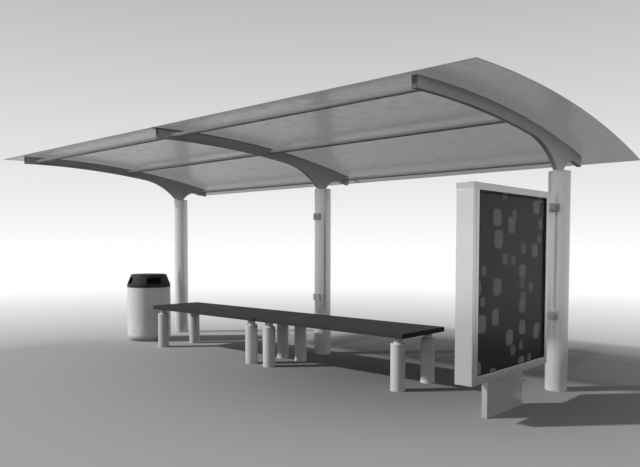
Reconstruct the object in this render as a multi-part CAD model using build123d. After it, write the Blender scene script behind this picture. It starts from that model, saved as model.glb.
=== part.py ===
"""Bus shelter: a curved translucent roof on three tapered cantilever arms, each on a round
column, with a two-sided poster case, two bench modules on round legs and a round litter bin.

Frame: millimetres, +X along the shelter to the right as seen from the street, +Y to the rear,
+Z up. The origin is the centre of the middle column's foot, at ground level.
"""

import math
import os

from build123d import *

# Column line
bay_length = 3000.0
bay_count = 2
column_diameter = 203.0
column_wall = 6.3
column_foot_thickness = 15.0
column_cap_thickness = 10.0

# Roof curve: an arc about an axis along X, its highest line in front of the columns
roof_radius = 11400.0
roof_apex_forward = 1930.0
roof_apex_height = 2510.0
roof_front_reach = 2450.0
roof_rear_reach = 722.0
roof_end_overhang = 490.0
roof_sheet_thickness = 10.0
roof_sheet_joint = 4.0
glazing_strip_height = 22.0

# Cantilever arms
arm_thickness = 45.0
arm_tip_depth = 66.0
arm_root_depth = 80.0
arm_stub_depth = 82.0
arm_front_reach = 2385.0
arm_rear_reach = 475.0
arm_neck_below_apex = 452.0
arm_front_flare = 620.0
arm_rear_flare = 300.0
arm_neck_forward = 92.0
arm_neck_rearward = 36.0
arm_tip_radius = 14.0

# Purlins between the arms
purlin_diameter = 42.4
purlin_wall = 2.6
purlin_front = 2245.0
purlin_front_drop = 15.0
purlin_middle = 925.0
purlin_middle_drop = 1.0
purlin_rear = 395.0
purlin_rear_drop = 9.0

# Poster case, in front of the right column
case_length = 1326.0
case_height = 1522.0
case_thickness = 150.0
case_rear_gap = 292.0
case_ground_gap = 314.0
case_front_border = 85.0
case_rear_border = 58.0
case_cap_height = 54.0
case_bottom_border = 66.0
case_wall = 4.0
case_pane_recess = 12.0
case_pane_thickness = 4.0
case_poster_thickness = 1.5
case_board_thickness = 6.0
case_foot_length = 623.0
case_foot_thickness = 50.0
case_foot_wall = 5.0
case_foot_forward = 1076.0

# Saddle brackets on the columns
saddle_width = 100.0
saddle_height = 80.0
saddle_thickness = 16.0
saddle_above_case_foot = 404.0
saddle_below_case_top = 119.0
bracket_bar_width = 40.0
bracket_bar_height = 60.0
panel_hole_diameter = 10.0
panel_hole_depth = 12.0

# Bench modules, end to end across the middle column
bench_module_length = 2034.0
bench_module_gap = 4.0
bench_width = 726.0
bench_middle_forward = 781.0
bench_height = 552.0
bench_pan_depth = 46.0
bench_pan_wall = 4.0
bench_pan_corner = 12.0
bench_leg_diameter = 140.0
bench_leg_wall = 5.0
bench_leg_top = 450.0
bench_neck_diameter = 88.9
bench_leg_end_inset = 114.0
bench_leg_joint_inset = 147.0
bench_leg_front_inset = 90.0
bench_leg_rear_inset = 132.0

# Litter bin
bin_diameter = 604.0
bin_height = 940.0
bin_wall = 4.0
bin_forward = 778.0
bin_left = 2697.0
bin_round_height = 90.0
bin_round_inset = 50.0
bin_groove_height = 105.0
bin_groove_width = 10.0
bin_spigot_height = 24.0
bin_bead_height = 704.0
bin_bead_width = 8.0
bin_bead_depth = 3.0
bin_hood_height = 182.0
bin_hood_band = 38.0
bin_hood_top_diameter = 492.0
bin_hood_wall = 5.0
bin_hood_edge_radius = 14.0
bin_mouth_above_band = 17.0
bin_mouth_width = 200.0
bin_mouth_height = 84.0
bin_mouth_count = 3
bin_mouth_pitch = 90.0
bin_mouth_first_turn = -107.4
bin_liner_clearance = 18.0
bin_liner_wall = 3.0
bin_floor_thickness = 6.0

# Clearance between pieces that are laid or hung against each other
seat_gap = 0.3

# Values that follow from the sizes above
side_names = ["left", "middle", "right"]
bay_names = ["left_bay", "right_bay"]
arm_x = [bay_length * (i - bay_count / 2) for i in range(bay_count + 1)]
roof_axis_y = -roof_apex_forward
roof_axis_z = roof_apex_height - roof_radius
sheet_under_radius = roof_radius - roof_sheet_thickness
arm_top_radius = sheet_under_radius - glazing_strip_height
column_height = roof_apex_height - arm_neck_below_apex
case_x = arm_x[-1]
case_rear_y = -column_diameter / 2 - case_rear_gap
case_front_y = case_rear_y - case_length
case_top_z = case_ground_gap + case_height
case_foot_y = -case_foot_forward
saddle_low_height = case_ground_gap + saddle_above_case_foot
saddle_high_height = case_top_z - saddle_below_case_top


def arc_height(radius, y):
    """Height of the roof arc of this radius above the ground at the place y."""
    return roof_axis_z + math.sqrt(radius**2 - (y - roof_axis_y) ** 2)


def on_arc(radius, y):
    """Point of a profile, as (y, z), on the roof arc of this radius."""
    return (y, arc_height(radius, y))


def under_arm(y, depth):
    """Point of a profile, as (y, z), this far below the top of an arm."""
    return (y, arc_height(arm_top_radius, y) - depth)


def roof_arc(radius, y_start, y_end):
    """Edge along the roof arc of this radius between two places."""
    y_middle = (y_start + y_end) / 2
    return ThreePointArc(on_arc(radius, y_start), on_arc(radius, y_middle), on_arc(radius, y_end))


def across(profile_edges, thickness, x):
    """Solid from a closed YZ profile, centred on x and this thick along X."""
    face = Plane.YZ * make_face(profile_edges)
    return Pos(x - thickness / 2, 0, 0) * extrude(face, amount=thickness, dir=(1, 0, 0))


def curved_strip(outer_radius, inner_radius, y_start, y_end, width, x):
    """Strip between two roof arcs, such as the sheet or a glazing strip."""
    outer = roof_arc(outer_radius, y_start, y_end)
    inner = roof_arc(inner_radius, y_end, y_start)
    rear = Line(outer @ 1, inner @ 0)
    front = Line(inner @ 1, outer @ 0)
    return across([outer, rear, inner, front], width, x)


def tube(outer_diameter, wall, height, z):
    """Upright round tube with its lower end at z."""
    ring = Circle(outer_diameter / 2) - Circle(outer_diameter / 2 - wall)
    return Pos(0, 0, z) * extrude(ring, amount=height)


def disc(diameter, thickness, z):
    """Upright round plate with its lower face at z."""
    return Pos(0, 0, z) * extrude(Circle(diameter / 2), amount=thickness)


def block(x_size, y_size, z_size, x, y, z):
    """Plain block, centred on x and y, with its lower face at z."""
    return Pos(x, y, z + z_size / 2) * Box(x_size, y_size, z_size)


def hollow_upright(x_size, y_size, z_size, wall, x, y, z):
    """Rectangular tube that stands upright, centred on x and y."""
    outer = block(x_size, y_size, z_size, x, y, z)
    return outer - block(x_size - 2 * wall, y_size - 2 * wall, z_size, x, y, z)


def make_column_tube(x):
    """Column tube between its foot disc and its cap."""
    height = column_height - column_foot_thickness - column_cap_thickness
    return Pos(x, 0, 0) * tube(column_diameter, column_wall, height, column_foot_thickness)


def make_column_foot(x):
    """Disc that closes a column at the ground."""
    return Pos(x, 0, 0) * disc(column_diameter, column_foot_thickness, 0)


def make_column_cap(x):
    """Disc that closes a column at its top and carries the arm's neck."""
    z = column_height - column_cap_thickness
    return Pos(x, 0, 0) * disc(column_diameter, column_cap_thickness, z)


def make_arm(x):
    """Arm: curved blade that tapers to its tip, concave flares on both sides of the neck."""
    neck_front = (-arm_neck_forward, column_height)
    neck_rear = (arm_neck_rearward, column_height)
    top = roof_arc(arm_top_radius, -arm_front_reach, arm_rear_reach)
    stub = roof_arc(arm_top_radius - arm_stub_depth, arm_rear_reach, arm_rear_flare)
    rear_end = Line(top @ 1, stub @ 0)
    rear_flare = TangentArc(stub @ 1, neck_rear, tangent=stub % 1)
    neck = Line(neck_rear, neck_front)
    blade = ThreePointArc(
        under_arm(-arm_front_flare, arm_root_depth),
        under_arm(-(arm_front_flare + arm_front_reach) / 2, (arm_root_depth + arm_tip_depth) / 2),
        under_arm(-arm_front_reach, arm_tip_depth),
    )
    front_flare = TangentArc(blade @ 0, neck_front, tangent=-(blade % 0))
    front_end = Line(blade @ 1, top @ 0)
    edges = [top, rear_end, stub, rear_flare, neck, front_flare, blade, front_end]
    arm = across(edges, arm_thickness, x)
    lower_corners = [
        edge for edge in arm.edges().filter_by(Axis.X)
        if edge.center().Z < arc_height(arm_top_radius, edge.center().Y) - arm_tip_depth / 2
        and (edge.center().Y < -arm_front_reach * 0.9 or edge.center().Y > arm_rear_reach * 0.9)
    ]
    return fillet(lower_corners, arm_tip_radius)


def make_glazing_strip(x):
    """Gasketed bar between the top of an arm and the roof sheet."""
    return curved_strip(
        sheet_under_radius, arm_top_radius, -arm_front_reach, arm_rear_reach, arm_thickness, x
    )


def make_roof_sheet(x_start, x_end):
    """One translucent roof sheet between two places along X."""
    width = x_end - x_start
    return curved_strip(
        roof_radius, sheet_under_radius, -roof_front_reach, roof_rear_reach, width, x_start + width / 2
    )


def make_purlin(x_start, y, drop):
    """Round tube from arm to arm, with its top this far below the arms' tops."""
    tilt = math.asin((y - roof_axis_y) / roof_radius)
    centre_radius = arm_top_radius - drop - purlin_diameter / 2
    centre_y = roof_axis_y + centre_radius * math.sin(tilt)
    centre_z = roof_axis_z + centre_radius * math.cos(tilt)
    ring = Circle(purlin_diameter / 2) - Circle(purlin_diameter / 2 - purlin_wall)
    rail = extrude(Plane.YZ * ring, amount=bay_length - arm_thickness, dir=(1, 0, 0))
    return Pos(x_start + arm_thickness / 2, centre_y, centre_z) * rail


def make_saddle(x, z_middle):
    """Plate whose back is hollowed to lie on the front of a column."""
    front_y = -column_diameter / 2 - saddle_thickness
    back_y = -column_diameter / 4
    depth = back_y - front_y
    plate = block(saddle_width, depth, saddle_height, x, front_y + depth / 2, z_middle - saddle_height / 2)
    return plate - Pos(x, 0, z_middle) * Cylinder(column_diameter / 2, 2 * saddle_height)


def make_panel_saddle(x, z_middle):
    """Saddle with a blind tapped hole in its front face, for a panel that isn't fitted."""
    front_y = -column_diameter / 2 - saddle_thickness
    hole = Cylinder(panel_hole_diameter / 2, panel_hole_depth)
    place = Pos(x, front_y + panel_hole_depth / 2, z_middle) * Rot(90, 0, 0)
    return make_saddle(x, z_middle) - place * hole


def make_case_bracket(z_middle):
    """Saddle on the right column with a bar to the rear post of the poster case."""
    front_y = -column_diameter / 2 - saddle_thickness
    bar_length = front_y - case_rear_y
    bar_y = case_rear_y + bar_length / 2
    bar_z = z_middle - bracket_bar_height / 2
    bar = block(bracket_bar_width, bar_length, bracket_bar_height, case_x, bar_y, bar_z)
    return make_saddle(case_x, z_middle) + bar


def make_case_post(y_start, border):
    """Hollow upright of the poster case, full thickness."""
    height = case_height - case_cap_height
    y_middle = y_start + border / 2
    return hollow_upright(case_thickness, border, height, case_wall, case_x, y_middle, case_ground_gap)


def make_case_cap():
    """Hollow cap over both posts, closed at its ends."""
    z = case_top_z - case_cap_height
    y_middle = case_front_y + case_length / 2
    outer = block(case_thickness, case_length, case_cap_height, case_x, y_middle, z)
    inside = block(
        case_thickness - 2 * case_wall, case_length - 2 * case_wall, case_cap_height - case_wall,
        case_x, y_middle, z
    )
    return outer - inside


def make_case_bottom_rail():
    """Hollow rail between the posts that carries the case on its foot."""
    length = case_length - case_front_border - case_rear_border
    y_middle = case_front_y + case_front_border + length / 2
    outer = block(case_thickness, length, case_bottom_border, case_x, y_middle, case_ground_gap)
    inside = block(
        case_thickness - 2 * case_wall, length, case_bottom_border - 2 * case_wall,
        case_x, y_middle, case_ground_gap + case_wall
    )
    return outer - inside


def make_case_layer(side, recess, thickness):
    """Flat layer in the case's opening on one side: pane, poster or backing board."""
    length = case_length - case_front_border - case_rear_border
    height = case_height - case_cap_height - case_bottom_border
    x = case_x + side * (case_thickness / 2 - recess - thickness / 2)
    y_middle = case_front_y + case_front_border + length / 2
    return block(thickness, length, height, x, y_middle, case_ground_gap + case_bottom_border)


def make_case_foot():
    """Welded rectangular pedestal from the ground to the bottom rail."""
    return hollow_upright(
        case_foot_thickness, case_foot_length, case_ground_gap, case_foot_wall, case_x, case_foot_y, 0
    )


def bench_range(side):
    """Ends of one bench module along X, as (low, high); side is -1 or 1."""
    inner = side * bench_module_gap / 2
    outer = side * (bench_module_gap / 2 + bench_module_length)
    return (min(inner, outer), max(inner, outer))


def make_bench_seat(side):
    """Seat pan: flat top with folded edges, open below."""
    low, high = bench_range(side)
    x_middle = (low + high) / 2
    z = bench_height - bench_pan_depth
    y = -bench_middle_forward
    outer = block(bench_module_length, bench_width, bench_pan_depth, x_middle, y, z)
    outer = fillet(outer.edges().filter_by(Axis.Z), bench_pan_corner)
    inner = block(
        bench_module_length - 2 * bench_pan_wall, bench_width - 2 * bench_pan_wall,
        bench_pan_depth - bench_pan_wall, x_middle, y, z
    )
    inner = fillet(inner.edges().filter_by(Axis.Z), bench_pan_corner - bench_pan_wall)
    return outer - inner


def make_bench_leg(x, y):
    """Round leg with a flat shoulder and a narrower neck up to the seat's top plate."""
    outer = bench_leg_diameter / 2
    neck = bench_neck_diameter / 2
    wall = bench_leg_wall
    top = bench_height - bench_pan_wall
    profile = Polyline(
        (outer - wall, 0), (outer, 0), (outer, bench_leg_top), (neck, bench_leg_top), (neck, top),
        (neck - wall, top), (neck - wall, bench_leg_top - wall), (outer - wall, bench_leg_top - wall),
        close=True
    )
    section = Plane.XZ * make_face(profile)
    return Pos(x, y, 0) * revolve(section, Axis.Z)


def make_bench_legs(side):
    """The four legs under one bench module."""
    low, high = bench_range(side)
    inset_low = bench_leg_end_inset if side < 0 else bench_leg_joint_inset
    inset_high = bench_leg_joint_inset if side < 0 else bench_leg_end_inset
    legs = []
    front_row = -bench_middle_forward - bench_width / 2 + bench_leg_front_inset
    rear_row = -bench_middle_forward + bench_width / 2 - bench_leg_rear_inset
    for x in (low + inset_low, high - inset_high):
        for y in (front_row, rear_row):
            legs.append(make_bench_leg(x, y))
    return Compound(children=legs)


bin_centre = Pos(-bin_left, -bin_forward, 0)
bin_body_top = bin_height - bin_hood_height
bin_body_bottom = bin_groove_height + bin_groove_width


def turned(points):
    """Round solid about the bin's axis from a closed profile of (radius, height) points."""
    return revolve(Plane.XZ * make_face(Polyline(*points, close=True)), Axis.Z)


def make_bin_base():
    """Dished base with a rounded lower edge and a spigot, which shows in the groove under the body."""
    outer = bin_diameter / 2
    foot = outer - bin_round_inset
    spigot = outer - bin_wall - seat_gap
    inner = spigot - bin_wall
    spigot_top = bin_body_bottom + bin_spigot_height
    outside = TangentArc((outer, bin_round_height), (foot, 0), tangent=(0, -1))
    inside = TangentArc((inner, bin_round_height), (foot - bin_wall, bin_floor_thickness), tangent=(0, -1))
    bottom = Polyline((foot, 0), (0, 0), (0, bin_floor_thickness), inside @ 1)
    top = Polyline(
        inside @ 0, (inner, spigot_top), (spigot, spigot_top), (spigot, bin_groove_height),
        (outer, bin_groove_height), outside @ 0
    )
    return bin_centre * revolve(Plane.XZ * make_face([outside, bottom, inside, top]), Axis.Z)


def make_bin_body():
    """Round outer shell of the bin with a groove rolled into its wall near the top."""
    outer = bin_diameter / 2
    inner = outer - bin_wall
    low = bin_bead_height - bin_bead_width / 2
    high = bin_bead_height + bin_bead_width / 2
    points = [
        (outer, bin_body_bottom), (outer, low), (outer - bin_bead_depth, low),
        (outer - bin_bead_depth, high), (outer, high), (outer, bin_body_top), (inner, bin_body_top),
        (inner, high + bin_wall), (inner - bin_bead_depth, high + bin_wall),
        (inner - bin_bead_depth, low - bin_wall), (inner, low - bin_wall), (inner, bin_body_bottom),
    ]
    return bin_centre * turned(points)


def make_bin_hood():
    """Hood: upright band, tapered side with mouths on three sides, and a flat top."""
    base = bin_diameter / 2
    top = bin_hood_top_diameter / 2
    wall = bin_hood_wall
    band_top = bin_body_top + bin_hood_band
    points = [
        (base, bin_body_top), (base, band_top), (top, bin_height), (0, bin_height),
        (0, bin_height - wall), (top - wall, bin_height - wall), (base - wall, band_top),
        (base - wall, bin_body_top),
    ]
    hood = turned(points)
    rim = hood.edges().filter_by(GeomType.CIRCLE).group_by(Axis.Z)[-1]
    hood = fillet(rim, bin_hood_edge_radius)
    sill = band_top + bin_mouth_above_band
    mouth = block(bin_diameter, bin_mouth_width, bin_mouth_height, bin_diameter / 2, 0, sill)
    for i in range(bin_mouth_count):
        hood -= Rot(0, 0, bin_mouth_first_turn + i * bin_mouth_pitch) * mouth
    return bin_centre * hood


def make_bin_liner():
    """Removable inner bucket that stands on the bin's floor."""
    radius = bin_diameter / 2 - bin_round_inset - bin_liner_clearance
    wall = bin_liner_wall
    low = bin_floor_thickness
    high = bin_body_top - bin_liner_clearance
    points = [
        (0, low), (radius, low), (radius, high), (radius - wall, high), (radius - wall, low + wall),
        (0, low + wall),
    ]
    return bin_centre * turned(points)


parts = {}

for name, x in zip(side_names, arm_x):
    parts[f"{name}_column"] = make_column_tube(x)
    parts[f"{name}_arm"] = make_arm(x)
parts["column_feet"] = Compound(children=[make_column_foot(x) for x in arm_x])
parts["column_caps"] = Compound(children=[make_column_cap(x) for x in arm_x])
parts["glazing_strips"] = Compound(children=[make_glazing_strip(x) for x in arm_x])

purlin_rows = {
    "front": (-purlin_front, purlin_front_drop),
    "middle": (-purlin_middle, purlin_middle_drop),
    "rear": (purlin_rear, purlin_rear_drop),
}
for bay, x in zip(bay_names, arm_x):
    for row, (y, drop) in purlin_rows.items():
        parts[f"{row}_purlin_{bay}"] = make_purlin(x, y, drop)

roof_end = arm_x[-1] + roof_end_overhang
parts["roof_sheet_left"] = make_roof_sheet(-roof_end, -roof_sheet_joint / 2)
parts["roof_sheet_right"] = make_roof_sheet(roof_sheet_joint / 2, roof_end)

parts["upper_case_bracket"] = make_case_bracket(saddle_high_height)
parts["lower_case_bracket"] = make_case_bracket(saddle_low_height)
parts["upper_column_saddle"] = make_panel_saddle(arm_x[1], saddle_high_height)
parts["lower_column_saddle"] = make_panel_saddle(arm_x[1], saddle_low_height)

parts["case_front_post"] = make_case_post(case_front_y, case_front_border)
parts["case_rear_post"] = make_case_post(case_rear_y - case_rear_border, case_rear_border)
parts["case_top_cap"] = make_case_cap()
parts["case_bottom_rail"] = make_case_bottom_rail()
parts["case_foot"] = make_case_foot()
poster_recess = case_pane_recess + case_pane_thickness + seat_gap
board_recess = poster_recess + case_poster_thickness
for name, side in (("inner", -1), ("outer", 1)):
    parts[f"{name}_pane"] = make_case_layer(side, case_pane_recess, case_pane_thickness)
    parts[f"{name}_poster"] = make_case_layer(side, poster_recess, case_poster_thickness)
    parts[f"{name}_backing_board"] = make_case_layer(side, board_recess, case_board_thickness)

for name, side in (("left", -1), ("right", 1)):
    parts[f"bench_seat_{name}"] = make_bench_seat(side)
    parts[f"bench_legs_{name}"] = make_bench_legs(side)

parts["bin_base"] = make_bin_base()
parts["bin_body"] = make_bin_body()
parts["bin_hood"] = make_bin_hood()
parts["bin_liner"] = make_bin_liner()

os.makedirs("parts", exist_ok=True)
for name, solid in parts.items():
    export_step(solid, f"parts/{name}.step")
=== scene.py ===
"""Bus shelter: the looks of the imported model, in metres, in the model's own frame.

+X runs along the shelter to the right as seen from the street, +Y to the rear and +Z up. The
origin is the centre of the middle column's foot, at ground level.
"""

import logging
import math
from collections.abc import Iterable, Sequence
from dataclasses import dataclass
from enum import Enum
from functools import lru_cache
from typing import Any

import bmesh
import bpy
from bmesh.types import BMEdge, BMesh, BMFace, BMVert
from bpy.types import ID, Material, Node, NodeSocket, NodeTree, Object, World
from mathutils import Matrix, Vector


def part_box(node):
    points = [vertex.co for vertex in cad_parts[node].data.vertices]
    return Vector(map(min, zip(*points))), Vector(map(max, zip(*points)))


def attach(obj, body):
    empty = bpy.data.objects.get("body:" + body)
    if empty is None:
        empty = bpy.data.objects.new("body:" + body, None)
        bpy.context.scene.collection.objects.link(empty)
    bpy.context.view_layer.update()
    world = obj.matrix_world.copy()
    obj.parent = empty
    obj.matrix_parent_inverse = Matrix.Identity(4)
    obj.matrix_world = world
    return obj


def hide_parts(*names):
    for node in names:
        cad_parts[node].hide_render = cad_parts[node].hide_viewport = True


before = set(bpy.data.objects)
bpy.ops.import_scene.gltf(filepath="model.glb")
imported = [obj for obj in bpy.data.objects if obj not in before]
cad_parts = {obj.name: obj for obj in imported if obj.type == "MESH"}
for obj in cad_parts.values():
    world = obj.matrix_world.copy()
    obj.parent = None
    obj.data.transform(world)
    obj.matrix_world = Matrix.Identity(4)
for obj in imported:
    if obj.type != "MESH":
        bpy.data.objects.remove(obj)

BODY = "root"
SIDES = ("left", "middle", "right")
BAYS = ("left_bay", "right_bay")
ALONG = Vector((1.0, 0.0, 0.0))
REARWARD = Vector((0.0, 1.0, 0.0))
UP = Vector((0.0, 0.0, 1.0))
ROUND_STEPS = 96
SMOOTH_BELOW = math.radians(32.0)
FLAT_BELOW = math.radians(1.0)
MERGE_BELOW = 0.00002
PARALLEL = 0.99
# Nearly all of a noise's values lie between these two.
NOISE_RANGE = {"From Min": 0.3, "From Max": 0.7}

log = logging.getLogger("bus_shelter")


class Slot(Enum):
    """The record's material slots."""

    COLUMN_STEEL = "column_steel"
    ARM_PAINT = "arm_paint"
    PURLIN_PAINT = "purlin_paint"
    ROOF_SHEET = "roof_sheet"
    CASE_PAINT = "case_paint"
    CASE_PANE = "case_pane"
    POSTER_PRINT = "poster_print"
    BOARD_WHITE = "board_white"
    BRACKET_PAINT = "bracket_paint"
    BENCH_COAT = "bench_coat"
    BENCH_LEG_STEEL = "bench_leg_steel"
    BIN_BODY = "bin_body"
    BIN_HOOD = "bin_hood"
    BIN_LINER = "bin_liner"


def mm(value: float) -> float:
    """Turns millimetres into metres."""
    return value / 1000.0


def linear(colour: str) -> tuple[float, float, float, float]:
    """Turns an sRGB colour into the linear one that a shader takes.

    Args:
        colour: Six hex digits after a hash sign.

    Returns:
        Red, green, blue and an alpha of 1.
    """
    shares = (int(colour[i : i + 2], 16) / 255.0 for i in (1, 3, 5))
    red, green, blue = (s / 12.92 if s <= 0.04045 else ((s + 0.055) / 1.055) ** 2.4 for s in shares)
    return red, green, blue, 1.0


def add_node(
    tree: NodeTree,
    kind: str,
    settings: dict[str | int, Any] | None = None,
    links: dict[str | int, NodeSocket] | None = None,
) -> Node:
    """Adds a node with its settings and links.

    Args:
        tree: The tree that the node goes into.
        kind: The node's type name.
        settings: Values by input name or number, or by the name of a property of the node.
        links: Sockets by the name or number of the input that they feed.

    Returns:
        The new node.
    """
    node = tree.nodes.new(kind)
    for key, value in (settings or {}).items():
        if isinstance(key, int) or key in node.inputs:
            node.inputs[key].default_value = value
        else:
            setattr(node, key, value)
    for key, socket in (links or {}).items():
        tree.links.new(socket, node.inputs[key])
    return node


def empty_tree(owner: Material | World) -> NodeTree:
    """Gives a material or a world a tree without nodes.

    Args:
        owner: The material or the world.

    Returns:
        Its tree.
    """
    owner.use_nodes = True
    owner.node_tree.nodes.clear()
    return owner.node_tree


def in_scene(name: str, data: ID) -> Object:
    """Makes an object and puts it in the scene.

    Args:
        name: The object's name.
        data: Its mesh, lamp or camera.

    Returns:
        The object.
    """
    made = bpy.data.objects.new(name, data)
    bpy.context.scene.collection.objects.link(made)
    return made


def mesh_object(name: str, bm: BMesh, material: Material) -> Object:
    """Makes an object from a mesh.

    Args:
        name: The object's name.
        bm: Its mesh, which is freed.
        material: What all its faces have.

    Returns:
        The object.
    """
    mesh = bpy.data.meshes.new(name)
    bm.to_mesh(mesh)
    bm.free()
    mesh.materials.append(material)
    return in_scene(name, mesh)


def relief(tree: NodeTree, place: NodeSocket, size: float, detail: float, height: float) -> NodeSocket:
    """Makes a low relief that only the light shows.

    Args:
        tree: The material's tree.
        place: The place on the piece.
        size: How large the relief's waves are.
        detail: How many finer layers they carry.
        height: How high they rise.

    Returns:
        The socket of the surface's direction.
    """
    waves = add_node(
        tree, "ShaderNodeTexNoise", {"Scale": 1.0 / size, "Detail": detail}, {"Vector": place}
    ).outputs["Fac"]
    return add_node(
        tree, "ShaderNodeBump", {"Strength": 1.0, "Distance": height}, {"Height": waves}
    ).outputs["Normal"]


@dataclass(frozen=True)
class Finish:
    """What every finish has: a name, a slot and a way to make its shader."""

    name: str
    slot: Slot

    def shade(self, tree: NodeTree) -> NodeSocket:
        """Makes the shader's nodes.

        Args:
            tree: The material's tree.

        Returns:
            The socket to show.
        """
        raise NotImplementedError


@lru_cache(maxsize=None)
def material_of(finish: Finish) -> Material:
    """Makes a finish's material the first time and returns that one from then on.

    Args:
        finish: The finish to make.

    Returns:
        The Blender material.
    """
    material = bpy.data.materials.new(finish.name)
    tree = empty_tree(material)
    add_node(tree, "ShaderNodeOutputMaterial", links={"Surface": finish.shade(tree)})
    return material


@dataclass(frozen=True)
class Skin(Finish):
    """A surface of one colour: low waves, and faint clouds in its tone and its gloss."""

    colour: str
    roughness: float = 0.4
    glossy_share: float = 0.9
    dull_share: float = 1.12
    wave: float = mm(5.0)
    wave_height: float = mm(0.02)
    wave_detail: float = 2.0
    cloud: float = mm(420.0)
    cloud_detail: float = 4.0
    cloud_share: float = 0.05
    specular: float = 0.5

    def numbers(self) -> dict[str, float]:
        """Names the shader's numbers that are the same all over the surface."""
        return {"Specular IOR Level": self.specular}

    def shade(self, tree: NodeTree) -> NodeSocket:
        """Makes the surface's nodes.

        Args:
            tree: The material's tree.

        Returns:
            The socket of its shader.
        """
        place = add_node(tree, "ShaderNodeTexCoord").outputs["Object"]
        clouds = add_node(
            tree, "ShaderNodeTexNoise", {"Scale": 1.0 / self.cloud, "Detail": self.cloud_detail},
            {"Vector": place},
        ).outputs["Fac"]
        tones = (1.0 - self.cloud_share, 1.0 + self.cloud_share)
        glosses = (self.roughness * self.glossy_share, self.roughness * self.dull_share)
        tone, gloss = (
            add_node(
                tree, "ShaderNodeMapRange", {**NOISE_RANGE, "To Min": low, "To Max": high}, {"Value": clouds}
            ).outputs["Result"]
            for low, high in (tones, glosses)
        )
        colour = add_node(
            tree, "ShaderNodeVectorMath", {"operation": "SCALE", 0: linear(self.colour)[:3]}, {"Scale": tone}
        ).outputs["Vector"]
        waves = relief(tree, place, self.wave, self.wave_detail, self.wave_height)
        return add_node(
            tree, "ShaderNodeBsdfPrincipled", self.numbers(),
            {"Base Color": colour, "Roughness": gloss, "Normal": waves},
        ).outputs["BSDF"]


@dataclass(frozen=True)
class Paint(Skin):
    """An opaque finish: paint, plastic, rubber, or metal that mirrors the horizon, blurred."""

    metallic: float = 0.0

    def numbers(self) -> dict[str, float]:
        """Adds the share of metal."""
        return {**super().numbers(), "Metallic": self.metallic}


@dataclass(frozen=True)
class ClearSheet(Skin):
    """Clear or tinted plastic sheet: part of the light comes through, under a faint mirror image."""

    opacity: float = 1.0
    ior: float = 1.49

    def numbers(self) -> dict[str, float]:
        """Adds how far the sheet covers what lies behind, and how it bends light."""
        return {**super().numbers(), "IOR": self.ior, "Alpha": self.opacity}


@dataclass(frozen=True)
class Poster(Finish):
    """Matt poster paper, offset printed: a dark ground with pale, soft, rounded squares.

    The squares lie where the cells of two random patterns have their middles, and a cell
    whose own number is low has none, so that they cluster and leave empty places. A layer is
    the mean distance between squares, the share of the cells that stay empty, and how far a
    square goes from the ground to the pale tone. Other sizes are shares of that distance.
    """

    ground: str = "#404040"
    pale: str = "#A8A8A8"
    layers: tuple[tuple[float, float, float], ...] = ((mm(250.0), 0.42, 1.0), (mm(165.0), 0.75, 0.75))
    small_reach: float = 0.2325
    large_reach: float = 0.31
    soft_edge: float = 0.045
    squareness: float = 3.2
    scatter: float = 0.85
    grain: float = mm(2.0)
    grain_height: float = mm(0.01)
    grain_detail: float = 3.0
    roughness: float = 0.6
    specular: float = 0.1

    def shade(self, tree: NodeTree) -> NodeSocket:
        """Makes the printed surface's nodes.

        Args:
            tree: The material's tree.

        Returns:
            The socket of its shader.
        """
        place = add_node(tree, "ShaderNodeTexCoord").outputs["Object"]
        split = add_node(tree, "ShaderNodeSeparateXYZ", links={"Vector": place}).outputs
        flat = add_node(
            tree, "ShaderNodeCombineXYZ", links={"X": split["Y"], "Y": split["Z"]}
        ).outputs["Vector"]
        large, small = (self.squares(tree, flat, *layer) for layer in self.layers)
        both = add_node(
            tree, "ShaderNodeMath", {"operation": "MAXIMUM"}, {0: large, 1: small}
        ).outputs["Value"]
        colour = add_node(
            tree, "ShaderNodeMix",
            {"data_type": "RGBA", 6: linear(self.ground), 7: linear(self.pale)}, {0: both},
        ).outputs[2]
        paper = relief(tree, place, self.grain, self.grain_detail, self.grain_height)
        return add_node(
            tree, "ShaderNodeBsdfPrincipled",
            {"Roughness": self.roughness, "Specular IOR Level": self.specular},
            {"Base Color": colour, "Normal": paper},
        ).outputs["BSDF"]

    def squares(
        self, tree: NodeTree, flat: NodeSocket, cell: float, empty: float, strength: float
    ) -> NodeSocket:
        """Makes one layer of soft squares.

        Args:
            tree: The material's tree.
            flat: The place on the poster.
            cell: The mean distance between squares.
            empty: The share of the cells that stay empty.
            strength: How far a square goes from the ground to the pale tone.

        Returns:
            A socket that is 0 on the ground and up to strength within a square.
        """
        cells = add_node(
            tree, "ShaderNodeTexVoronoi",
            {
                "voronoi_dimensions": "2D",
                "distance": "MINKOWSKI",
                "Scale": 1.0 / cell,
                "Exponent": self.squareness,
                "Randomness": self.scatter,
            },
            {"Vector": flat},
        )
        number = add_node(
            tree, "ShaderNodeSeparateColor", links={"Color": cells.outputs["Color"]}
        ).outputs["Red"]
        kept = add_node(
            tree, "ShaderNodeMath", {"operation": "GREATER_THAN", 1: empty}, {0: number}
        ).outputs["Value"]
        size = add_node(
            tree, "ShaderNodeMapRange",
            {"From Min": empty, "From Max": 1.0, "To Min": self.small_reach, "To Max": self.large_reach},
            {"Value": number},
        ).outputs["Result"]
        inside = add_node(
            tree, "ShaderNodeMath", {"operation": "SUBTRACT"}, {0: size, 1: cells.outputs["Distance"]}
        ).outputs["Value"]
        soft = add_node(
            tree, "ShaderNodeMapRange",
            {"From Min": 0.0, "From Max": self.soft_edge, "To Min": 0.0, "To Max": strength},
            {"Value": inside},
        ).outputs["Result"]
        return add_node(
            tree, "ShaderNodeMath", {"operation": "MULTIPLY"}, {0: soft, 1: kept}
        ).outputs["Value"]


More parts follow.
